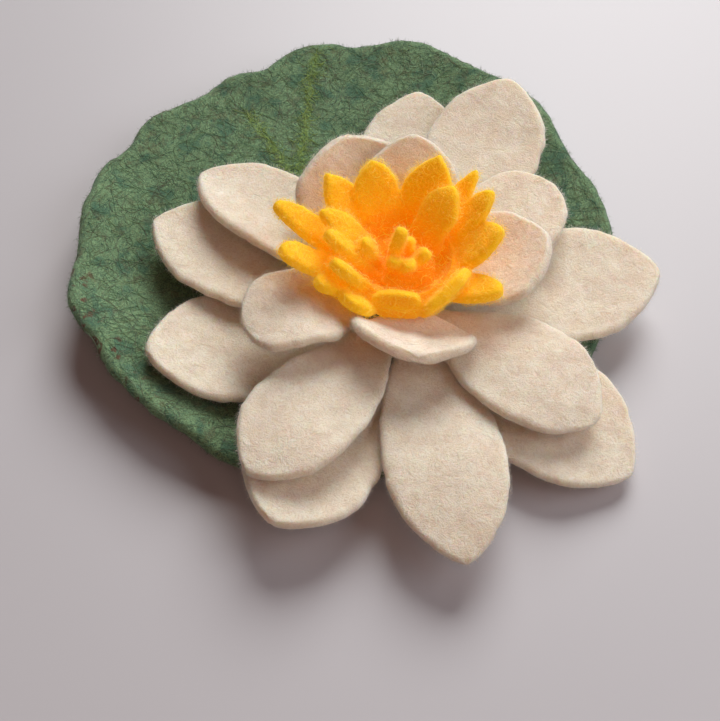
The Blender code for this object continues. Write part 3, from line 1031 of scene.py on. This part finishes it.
class Painter:
    """Short words for building a material's nodes."""

    def __init__(self, tree: bpy.types.NodeTree) -> None:
        """Work on one node tree."""
        self.tree = tree

    def feed(self, sockets: Iterable[bpy.types.NodeSocket], values: Iterable[object]) -> None:
        """Connect each socket to the one given for it, or set it to the value or colour given."""
        for socket, value in zip(sockets, values):
            if isinstance(value, bpy.types.NodeSocket):
                self.tree.links.new(value, socket)
            elif socket.type == "RGBA":
                socket.default_value = (*value, 1.0)
            elif value is not None:
                socket.default_value = value

    def set(self, node: bpy.types.Node, **inputs: object) -> bpy.types.Node:
        """Set or connect a node's inputs, named with _ for a space, and return the node."""
        sockets = [node.inputs[name.replace("_", " ")] for name in inputs]
        self.feed(sockets, inputs.values())
        return node

    def add(self, kind: str, **inputs: object) -> bpy.types.Node:
        """Add a node of a kind, named without the leading ShaderNode, with these inputs."""
        return self.set(self.tree.nodes.new("ShaderNode" + kind), **inputs)

    def vector(
        self, operation: str, first: object, second: object = None, scale: object = None,
    ) -> bpy.types.NodeSocket:
        """Return the sum of two vectors, or one vector scaled."""
        node = self.add("VectorMath")
        node.operation = operation
        self.feed(node.inputs, (first, second, None, scale))
        return node.outputs[0]

    def sum(self, operation: str, first: object, second: object) -> bpy.types.NodeSocket:
        """Return the result of a sum of two values."""
        node = self.add("Math")
        node.operation = operation
        self.feed(node.inputs, (first, second))
        return node.outputs[0]

    def clouds(
        self, place: bpy.types.NodeSocket, scale: object, detail: float, roughness: float = 0.5,
    ) -> bpy.types.NodeSocket:
        """Return a cloudy pattern from 0 to 1."""
        node = self.add(
            "TexNoise", Vector=place, Scale=scale, Detail=detail, Roughness=roughness)
        return node.outputs[0]

    def ramp(self, value: bpy.types.NodeSocket, low: float, high: float) -> bpy.types.NodeSocket:
        """Return a mask that rises softly from 0 at low to 1 at high."""
        node = self.add("MapRange", Value=value, From_Min=low, From_Max=high)
        node.interpolation_type = "SMOOTHSTEP"
        return node.outputs["Result"]

    def blend(self, mask: object, first: object, second: object) -> bpy.types.NodeSocket:
        """Return the first colour where the mask is 0 and the second where it is 1."""
        node = self.add("Mix")
        node.data_type = "RGBA"
        self.feed([node.inputs[number] for number in (0, 6, 7)], (mask, first, second))
        return node.outputs[2]

    def lay_over(
        self, colour: object, other: object, mask: object, strength: object,
    ) -> bpy.types.NodeSocket:
        """Return a colour with another over it, where a mask says and at most this strongly."""
        return self.blend(self.sum("MULTIPLY", mask, strength), colour, other)

    def attribute(self, name: str) -> bpy.types.NodeSocket:
        """Return a number painted on the mesh."""
        node = self.add("Attribute")
        node.attribute_name = name
        return node.outputs["Fac"]


def new_material(name: str) -> tuple[bpy.types.Material, Painter, bpy.types.Node]:
    """Return a new material, its painter and its shader."""
    material = bpy.data.materials.new(name)
    material.use_nodes = True
    painter = Painter(material.node_tree)
    return material, painter, painter.tree.nodes["Principled BSDF"]


HAIR_DIRECTIONS = (
    (0.0, 0.0), (63.0, 12.0), (118.0, -9.0), (31.0, 58.0), (152.0, -14.0), (88.0, 71.0), (12.0, -48.0))
HAIR_STEP = (31.0, 17.0, 5.0)       # how far one direction's hairs lie from the next one's
HAIR_START, HAIR_FULL = 0.56, 0.68


def felt_group() -> bpy.types.NodeTree:
    """Build the pattern that all the felts share.

    It puts out matted hairs of three kinds as short crooked streaks, soft patches, a grain, and a
    height for the bump.

    Returns:
        The node group.
    """
    group = bpy.data.node_groups.new("matted_wool", "ShaderNodeTree")
    face = group.interface
    face.new_socket("Vector", in_out="INPUT", socket_type="NodeSocketVector")
    sizes = {"Hair length": 3.0, "Hair width": 0.2, "Curl": 1.5, "Patch size": 4.0}
    for name, value in sizes.items():
        face.new_socket(name, in_out="INPUT", socket_type="NodeSocketFloat").default_value = value
    for name in ("Pale hair", "Dark hair", "Other hair", "Patch", "Grain", "Height"):
        face.new_socket(name, in_out="OUTPUT", socket_type="NodeSocketFloat")
    painter = Painter(group)
    start = group.nodes.new("NodeGroupInput")
    end = group.nodes.new("NodeGroupOutput")
    place = painter.vector("SCALE", start.outputs["Vector"], scale=1.0 / MM)
    wander = painter.add("TexNoise", Vector=place, Scale=0.4, Detail=1.0)
    bent = painter.vector("SUBTRACT", wander.outputs["Color"], (0.5, 0.5, 0.5))
    bent = painter.vector("SCALE", bent, scale=start.outputs["Curl"])
    bent = painter.vector("ADD", place, bent)
    width = start.outputs["Hair width"]
    stretch = painter.add("CombineXYZ", X=start.outputs["Hair length"], Y=width, Z=width)
    streaks = []
    for number, (yaw, pitch) in enumerate(HAIR_DIRECTIONS):
        turned = painter.add(
            "Mapping", Vector=bent, Scale=stretch.outputs[0],
            Rotation=(0.0, math.radians(pitch), math.radians(yaw)),
            Location=[number * step for step in HAIR_STEP])
        turned.vector_type = "TEXTURE"
        streak = painter.clouds(turned.outputs[0], 1.0, 0.5)
        streaks.append(painter.ramp(streak, HAIR_START, HAIR_FULL))
    pale = painter.sum("MAXIMUM", painter.sum("MAXIMUM", streaks[0], streaks[1]), streaks[2])
    dark = painter.sum("MAXIMUM", streaks[3], streaks[4])
    other = painter.sum("MAXIMUM", streaks[5], streaks[6])
    patch_scale = painter.sum("DIVIDE", 1.0, start.outputs["Patch size"])
    coarse = painter.clouds(place, patch_scale, 3.0, roughness=0.6)
    grain = painter.clouds(place, 1.6, 3.0, roughness=0.65)
    height = painter.sum("ADD", grain, painter.sum("MULTIPLY", pale, 0.35))
    height = painter.sum("SUBTRACT", height, painter.sum("MULTIPLY", dark, 0.3))
    height = painter.sum("ADD", height, painter.sum("MULTIPLY", coarse, 1.6))
    painter.set(
        end, Pale_hair=pale, Dark_hair=dark, Other_hair=other, Height=height,
        Patch=painter.ramp(coarse, 0.35, 0.65), Grain=painter.ramp(grain, 0.3, 0.7))
    return group


Colour = tuple[float, float, float]


@dataclass(frozen=True)
class FeltFinish:
    """What all the felts have in common: a dull, soft, slightly see-through wool."""

    name: str
    light: Colour
    dark: Colour
    pale_hair: Colour
    dark_hair: Colour
    other_hair: Colour
    hair_strength: float
    hair_size: tuple[float, float, float]   # length, width and curl, in millimetres
    patch_size: float
    bump: float
    glow: float
    glow_reach: Colour
    bump_depth: float = 0.5 * MM
    roughness: float = 0.95
    gloss: float = 0.15
    sheen: float = 0.25
    sheen_roughness: float = 0.6
    painted_glow: float = 0.0              # painted light: a glow that brightens the shaded felt where it is set
    painted_glow_colour: Colour = (1.0, 0.40, 0.0)

    def build(self, group: bpy.types.NodeTree) -> bpy.types.Material:
        """Make the material.

        Args:
            group: the shared pattern of matted wool.

        Returns:
            The finished material.
        """
        material, painter, shader = new_material(self.name)
        place = painter.add("TexCoord").outputs["Object"]
        wool = painter.add("Group")
        wool.node_tree = group
        length, width, curl = self.hair_size
        painter.set(
            wool, Vector=place, Hair_length=length, Hair_width=width, Curl=curl,
            Patch_size=self.patch_size)
        colour = painter.blend(wool.outputs["Patch"], self.dark, self.light)
        hairs = {
            "Dark hair": self.dark_hair, "Other hair": self.other_hair, "Pale hair": self.pale_hair}
        for name, hair in hairs.items():
            colour = painter.lay_over(colour, hair, wool.outputs[name], self.hair_strength)
        bump = painter.add(
            "Bump", Height=wool.outputs["Height"], Distance=self.bump_depth, Strength=self.bump)
        # The emission is painted light: a glow that lifts the shaded parts of the gold.
        painter.set(
            shader, Base_Color=self.tone(painter, wool, place, colour), Normal=bump.outputs[0],
            Roughness=self.roughness, Specular_IOR_Level=self.gloss, Sheen_Weight=self.sheen,
            Sheen_Roughness=self.sheen_roughness, Subsurface_Weight=self.glow,
            Subsurface_Radius=self.glow_reach, Subsurface_Scale=MM,
            Emission_Color=self.painted_glow_colour, Emission_Strength=self.painted_glow)
        return material

    def tone(
        self, painter: Painter, wool: bpy.types.Node, place: bpy.types.NodeSocket,
        colour: bpy.types.NodeSocket,
    ) -> bpy.types.NodeSocket:
        """Return the colour with the finish's own marks and painted light. The plain felt has none."""
        return colour


@dataclass(frozen=True)
class CreamFelt(FeltFinish):
    """Undyed wool, faintly pink in broad patches, with a painted highlight along the cut edge."""

    blush: Colour = (0.76, 0.60, 0.47)

    def tone(
        self, painter: Painter, wool: bpy.types.Node, place: bpy.types.NodeSocket,
        colour: bpy.types.NodeSocket,
    ) -> bpy.types.NodeSocket:
        """Return the cream with its blush and a painted highlight along its cut edge."""
        pink = painter.ramp(painter.clouds(place, 110.0, 2.0), 0.5, 0.75)
        colour = painter.lay_over(colour, self.blush, pink, 0.4)
        # Painted highlight: paler cream along the cut edge, where it catches the light.
        edge = painter.ramp(painter.attribute("edge"), 0.5, 1.0)
        return painter.lay_over(colour, self.pale_hair, edge, 0.15)


@dataclass(frozen=True)
class GreenFelt(FeltFinish):
    """Blended green wool with bluer and browner tufts and veins of lime wool."""

    sea: Colour = (0.02, 0.10, 0.07)
    brown: Colour = (0.11, 0.065, 0.035)
    lime: Colour = (0.24, 0.36, 0.07)

    def tone(
        self, painter: Painter, wool: bpy.types.Node, place: bpy.types.NodeSocket,
        colour: bpy.types.NodeSocket,
    ) -> bpy.types.NodeSocket:
        """Return the green with its tufts of other wool."""
        tuft = painter.ramp(painter.clouds(place, 230.0, 3.0), 0.52, 0.66)
        colour = painter.lay_over(colour, self.sea, tuft, 0.55)
        speck = painter.ramp(painter.clouds(place, 430.0, 2.0), 0.56, 0.68)
        rust = painter.ramp(painter.attribute("rust"), 0.1, 0.9)
        colour = painter.lay_over(colour, self.brown, speck, painter.sum("ADD", 0.3, rust))
        vein = painter.sum("ADD", wool.outputs["Grain"], wool.outputs["Pale hair"])
        vein = painter.ramp(painter.sum("MULTIPLY", painter.attribute("vein"), vein), 0.2, 0.8)
        return painter.lay_over(colour, self.lime, vein, 0.7)


@dataclass(frozen=True)
class GoldenFelt(FeltFinish):
    """Golden wool, with painted shade of dark orange low down between the tongues and a painted
    highlight at their rims.
    """

    # Painted shade colour of the lowest gold, then the painted highlight colour of its rims.
    painted_shade_orange: Colour = (0.86, 0.17, 0.0)
    rim: Colour = (1.0, 0.62, 0.02)

    def tone(
        self, painter: Painter, wool: bpy.types.Node, place: bpy.types.NodeSocket,
        colour: bpy.types.NodeSocket,
    ) -> bpy.types.NodeSocket:
        """Return the gold with painted shade low down between the tongues and a painted highlight on
        their rims and tips.
        """
        # Painted shade: dark orange where the gold is low down and inside, between the tongues.
        low = painter.ramp(painter.attribute("height"), 0.75, 0.15)
        colour = painter.lay_over(colour, self.painted_shade_orange, low, 0.85)
        # Painted highlight: paler gold on the tongues' rims and tips, where the back light catches
        # them.
        return painter.lay_over(colour, self.rim, painter.attribute("rim"), 0.8)


@dataclass(frozen=True)
class WoolFinish:
    """Loose fibres of several colours, picked by the tint that each fibre carries."""

    name: str
    colours: tuple[Colour, ...]
    sheer: float = 0.0                  # how much light passes through a fibre
    roughness: float = 0.8
    gloss: float = 0.2
    sheen: float = 0.2
    glow_reach: Colour = (1.0, 0.8, 0.5)
    glow_scale: float = 0.3 * MM
    painted_glow: float = 0.0              # painted light: a glow that brightens the shaded fibres where it is set
    painted_glow_colour: Colour = (1.0, 0.55, 0.0)

    def build(self) -> bpy.types.Material:
        """Make the material."""
        material, painter, shader = new_material(self.name)
        ramp = painter.add("ValToRGB")
        ramp.color_ramp.interpolation = "CONSTANT"
        stops = ramp.color_ramp.elements
        for number, colour in enumerate(self.colours):
            place = number / len(self.colours)
            stop = stops[number] if number < 2 else stops.new(place)
            stop.position = place
            stop.color = (*colour, 1.0)
        painter.feed(ramp.inputs, [painter.attribute("tint")])
        # The emission is painted light: a glow that lifts the shaded golden fibres.
        painter.set(
            shader, Base_Color=ramp.outputs[0], Roughness=self.roughness,
            Specular_IOR_Level=self.gloss, Sheen_Weight=self.sheen, Subsurface_Weight=self.sheer,
            Subsurface_Radius=self.glow_reach, Subsurface_Scale=self.glow_scale,
            Emission_Color=self.painted_glow_colour, Emission_Strength=self.painted_glow)
        return material


CREAM_FELT = CreamFelt(
    "cream_felt_finish", light=(0.93, 0.82, 0.66), dark=(0.82, 0.69, 0.53),
    pale_hair=(0.96, 0.89, 0.76), dark_hair=(0.64, 0.51, 0.37), other_hair=(0.87, 0.70, 0.48),
    hair_strength=0.42, hair_size=(3.8, 0.24, 2.6), patch_size=3.2, bump=0.4,
    glow=0.6, glow_reach=(3.5, 1.9, 1.0))
GREEN_FELT = GreenFelt(
    "green_felt_finish", light=(0.15, 0.26, 0.13), dark=(0.085, 0.165, 0.09),
    pale_hair=(0.24, 0.40, 0.20), dark_hair=(0.03, 0.07, 0.05), other_hair=(0.16, 0.19, 0.08),
    hair_strength=0.65, hair_size=(3.2, 0.2, 2.4), patch_size=2.2, bump=0.35,
    glow=0.0, glow_reach=(1.0, 1.0, 1.0), sheen=0.15)
# The gold felt carries a painted glow that brightens its shaded parts.
GOLDEN_FELT = GoldenFelt(
    "golden_felt_finish", light=(1.0, 0.53, 0.010), dark=(0.98, 0.44, 0.006),
    pale_hair=(1.0, 0.64, 0.03), dark_hair=(0.95, 0.33, 0.004), other_hair=(1.0, 0.50, 0.01),
    hair_strength=0.6, hair_size=(2.0, 0.22, 2.5), patch_size=1.6, bump=0.55,
    glow=0.5, glow_reach=(4.0, 2.0, 0.2), sheen=0.1, painted_glow=0.26)
CREAM_WOOL = WoolFinish(
    "cream_wool_finish", ((0.84, 0.70, 0.54), (0.80, 0.65, 0.49), (0.90, 0.80, 0.66)), sheer=0.6)
GREEN_WOOL = WoolFinish(
    "green_wool_finish",
    ((0.11, 0.21, 0.10), (0.07, 0.16, 0.085), (0.18, 0.31, 0.15), (0.07, 0.18, 0.12),
     (0.20, 0.25, 0.10), (0.13, 0.10, 0.07), (0.14, 0.27, 0.12), (0.30, 0.40, 0.25)))
LIME_WOOL = WoolFinish("lime_wool_finish", ((0.30, 0.42, 0.09), (0.22, 0.34, 0.09)))
# Painted glow: the golden wool lights its own shaded parts.
GOLDEN_WOOL = WoolFinish(
    "golden_wool_finish", ((1.0, 0.62, 0.02), (1.0, 0.74, 0.06), (1.0, 0.48, 0.01)), sheer=0.9,
    painted_glow=0.22)

MATTED = FibreStyle(150, 2.0, 7.0, 0.045, 5, 200, 0.0, 0.06)
CUT_EDGE = FibreStyle(420, 0.5, 1.3, 0.045, 2, 90, 0.45)
EDGE_FUZZ = FibreStyle(2600, 0.3, 1.1, 0.055, 1, 0, 0.5)
PAD_MATTED = FibreStyle(6200, 3.0, 9.0, 0.075, 5, 150, 0.0, 0.18)
PAD_STRAY = FibreStyle(4500, 0.4, 1.8, 0.06, 2, 90, 0.3)
PAD_EDGE = FibreStyle(3600, 0.3, 1.2, 0.06, 2, 90, 0.45)
PAD_VEIN = FibreStyle(330, 2.0, 5.0, 0.1, 5, 160, 0.0, 0.25)
FRINGE_FUZZ = FibreStyle(20000, 0.3, 1.0, 0.06, 1, 0, 0.5)
FRINGE_HALO = FibreStyle(3200, 0.8, 2.0, 0.045, 3, 150, 0.35)
FRINGE_CURLS = FibreStyle(620, 2.0, 6.0, 0.075, 6, 300, 0.0, 0.6)
INNER_FUZZ = FibreStyle(6000, 0.3, 0.9, 0.06, 1, 0, 0.5)
INNER_HALO = FibreStyle(1200, 0.7, 1.8, 0.045, 3, 150, 0.35)
INNER_CURLS = FibreStyle(160, 2.0, 5.0, 0.08, 6, 300, 0.0, 0.5)
HEART_FUZZ = FibreStyle(2500, 0.25, 0.7, 0.06, 1, 0, 0.5)
HEART_HALO = FibreStyle(400, 0.6, 1.3, 0.045, 3, 150, 0.35)


def near_the_edge(middle: np.ndarray, normal: np.ndarray, edge: np.ndarray) -> np.ndarray:
    """Weigh fibres towards the cut edge."""
    return np.clip(edge, 0.0, 1.0) ** 3 + 0.03


def towards_the_tips(middle: np.ndarray, normal: np.ndarray, edge: np.ndarray) -> np.ndarray:
    """Weigh fibres towards the golden tongues' rims and tips."""
    return 0.1 + smooth((middle[:, 2] - FRINGE_FOOT - 2.0) / 8.0) * (0.2 + edge)


def upper_side(middle: np.ndarray, normal: np.ndarray, edge: np.ndarray) -> np.ndarray:
    """Weigh fibres towards faces that look up."""
    return np.where(normal[:, 2] > 0.0, 1.0, 0.25)


@dataclass(frozen=True)
class SoftLight:
    """A round soft light that looks at the flower."""

    name: str
    azimuth: float
    elevation: float
    distance: float
    size: float
    power: float
    colour: Colour

    def hang(self) -> None:
        """Hang the light in its place."""
        out = level_direction(self.azimuth) * math.cos(math.radians(self.elevation))
        out[2] = math.sin(math.radians(self.elevation))
        place = Vector(out * self.distance)
        deselect_all()
        bpy.ops.object.light_add(type="AREA", location=place)
        light = bpy.context.object
        light.name = self.name
        light.rotation_euler = place.to_track_quat("Z", "Y").to_euler()
        light.data.shape = "DISK"
        light.data.size = self.size
        light.data.energy = self.power
        light.data.color = self.colour


@dataclass(frozen=True)
class Studio:
    """A plain pale floor, soft daylight from behind, and the portrait's camera."""

    floor_size: float = 4.0
    floor_colour: Colour = (0.55, 0.535, 0.545)
    floor_roughness: float = 0.42
    floor_gloss: float = 0.5
    lens: float = 59.92
    eye: tuple[float, float, float] = (-9.4, -140.5, 212.0)
    tilt: float = 32.0
    lights: tuple[SoftLight, ...] = (
        SoftLight("window", 76, 41, 1.2, 0.85, 14.6, (1.0, 1.0, 1.0)),
        SoftLight("right_fill", -10, 38, 1.0, 0.8, 3.8, (0.92, 0.94, 1.0)),
        SoftLight("front_fill", -90, 55, 1.0, 0.9, 1.6, (1.0, 0.58, 0.50)))
    room: Colour = (1.0, 0.85, 0.80)
    room_strength: float = 0.03

    def build(self) -> None:
        """Set up the floor, the lights and the camera."""
        self.add_floor()
        for light in self.lights:
            light.hang()
        self.add_room()
        self.add_camera()

    def add_floor(self) -> None:
        """Lay the pale floor."""
        deselect_all()
        bpy.ops.mesh.primitive_plane_add(size=self.floor_size)
        floor = bpy.context.object
        floor.name = "studio_floor"
        material, painter, shader = new_material("studio_floor")
        painter.set(
            shader, Base_Color=self.floor_colour, Roughness=self.floor_roughness,
            Specular_IOR_Level=self.floor_gloss)
        floor.data.materials.append(material)

    def add_room(self) -> None:
        """Fill the shadows with the room's warm light."""
        world = bpy.data.worlds.new("room")
        bpy.context.scene.world = world
        world.use_nodes = True
        sky = world.node_tree.nodes["Background"]
        Painter(world.node_tree).set(sky, Color=self.room, Strength=self.room_strength)

    def add_camera(self) -> None:
        """Put the camera where the photograph was taken from."""
        deselect_all()
        bpy.ops.object.camera_add(
            location=[value * MM for value in self.eye],
            rotation=(math.radians(self.tilt), 0.0, 0.0))
        camera = bpy.context.object
        camera.name = "portrait_camera"
        camera.data.lens = self.lens
        camera.data.clip_start = 0.01
        bpy.context.scene.camera = camera


def add_wool(
    name: str, seed: int, slot: Slot, wool: bpy.types.Material,
    *kinds: tuple[bpy.types.Object, FibreStyle, Weight | None],
) -> None:
    """Grow one piece of loose wool and dress it.

    Args:
        name: the piece's name.
        seed: its draw's seed.
        slot: the finish that the record names; not used.
        wool: the wool's material.
        kinds: for each kind of fibre the felt that it grows on, its style and where it is dense.
    """
    tuft = LooseWool(name, seed)
    for felt, style, weight in kinds:
        tuft.grow(felt, style, weight)
    tuft.weave(slot, wool)


def dress_petals(group: bpy.types.NodeTree) -> None:
    """Make the petals and the wool on them."""
    felt, wool = CREAM_FELT.build(group), CREAM_WOOL.build()
    rows = ("outer", "middle", "inner")
    tufts = {row: LooseWool(f"{row}_petals_wool", seed) for seed, row in enumerate(rows)}
    for seed, cut in enumerate(PETALS):
        petal = FeltPetal(cut, seed).build(felt)
        tuft = tufts[cut.name.split("_")[0]]
        tuft.grow(petal, MATTED, upper_side)
        tuft.grow(petal, CUT_EDGE, near_the_edge)
        tuft.grow(petal, EDGE_FUZZ, near_the_edge)
    for tuft in tufts.values():
        tuft.weave(Slot.CREAM, wool)


def dress_pad(group: bpy.types.NodeTree) -> None:
    """Make the pad and the wool on it."""
    pad = LilyPad()
    felt = pad.build(GREEN_FELT.build(group))
    wool, lime = GREEN_WOOL.build(), LIME_WOOL.build()

    def along_a_vein(middle: np.ndarray, normal: np.ndarray, edge: np.ndarray) -> np.ndarray:
        """Weigh fibres towards the veins."""
        return np.where(normal[:, 2] > 0.3, pad.vein(middle) ** 2, 0.0)

    add_wool("lily_pad_wool", 11, Slot.GREEN, wool, (felt, PAD_MATTED, upper_side))
    add_wool(
        "lily_pad_fuzz", 12, Slot.GREEN, wool,
        (felt, PAD_STRAY, upper_side), (felt, PAD_EDGE, near_the_edge))
    add_wool("lily_pad_veins", 13, Slot.GREEN, lime, (felt, PAD_VEIN, along_a_vein))


def dress_fringes(group: bpy.types.NodeTree) -> None:
    """Make the golden fringes, the heart and the wool on them."""
    felt, wool = GOLDEN_FELT.build(group), GOLDEN_WOOL.build()
    outer = Fringe(
        "stamen_fringe_outer", OUTER_TONGUES, 21.0, radius=8.0, height=4.5, flare=3.0).build(felt)
    inner = Fringe(
        "stamen_fringe_inner", INNER_TONGUES, 22.0, radius=4.3, height=3.5, flare=1.0).build(felt)
    heart = StamenHeart("stamen_heart", HEART_FINGERS, 23.0).build(felt)
    add_wool(
        "stamen_fringe_wool", 21, Slot.GOLDEN, wool, (outer, FRINGE_FUZZ, None),
        (outer, FRINGE_HALO, towards_the_tips), (outer, FRINGE_CURLS, None))
    add_wool(
        "stamen_heart_wool", 22, Slot.GOLDEN, wool, (inner, INNER_FUZZ, None),
        (inner, INNER_HALO, towards_the_tips), (inner, INNER_CURLS, None),
        (heart, HEART_FUZZ, None), (heart, HEART_HALO, towards_the_tips))


def main() -> None:
    """Load the frame, dress it and light it."""
    logging.basicConfig(level=logging.INFO, format="%(name)s: %(message)s")
    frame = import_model()
    LOG.info("dressing %d solids", len(frame["nodes"]))
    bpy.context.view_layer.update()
    group = felt_group()
    dress_pad(group)
    dress_petals(group)
    dress_fringes(group)
    Studio().build()
    bpy.context.scene.view_settings.view_transform = "Standard"


if __name__ == "__main__":
    main()
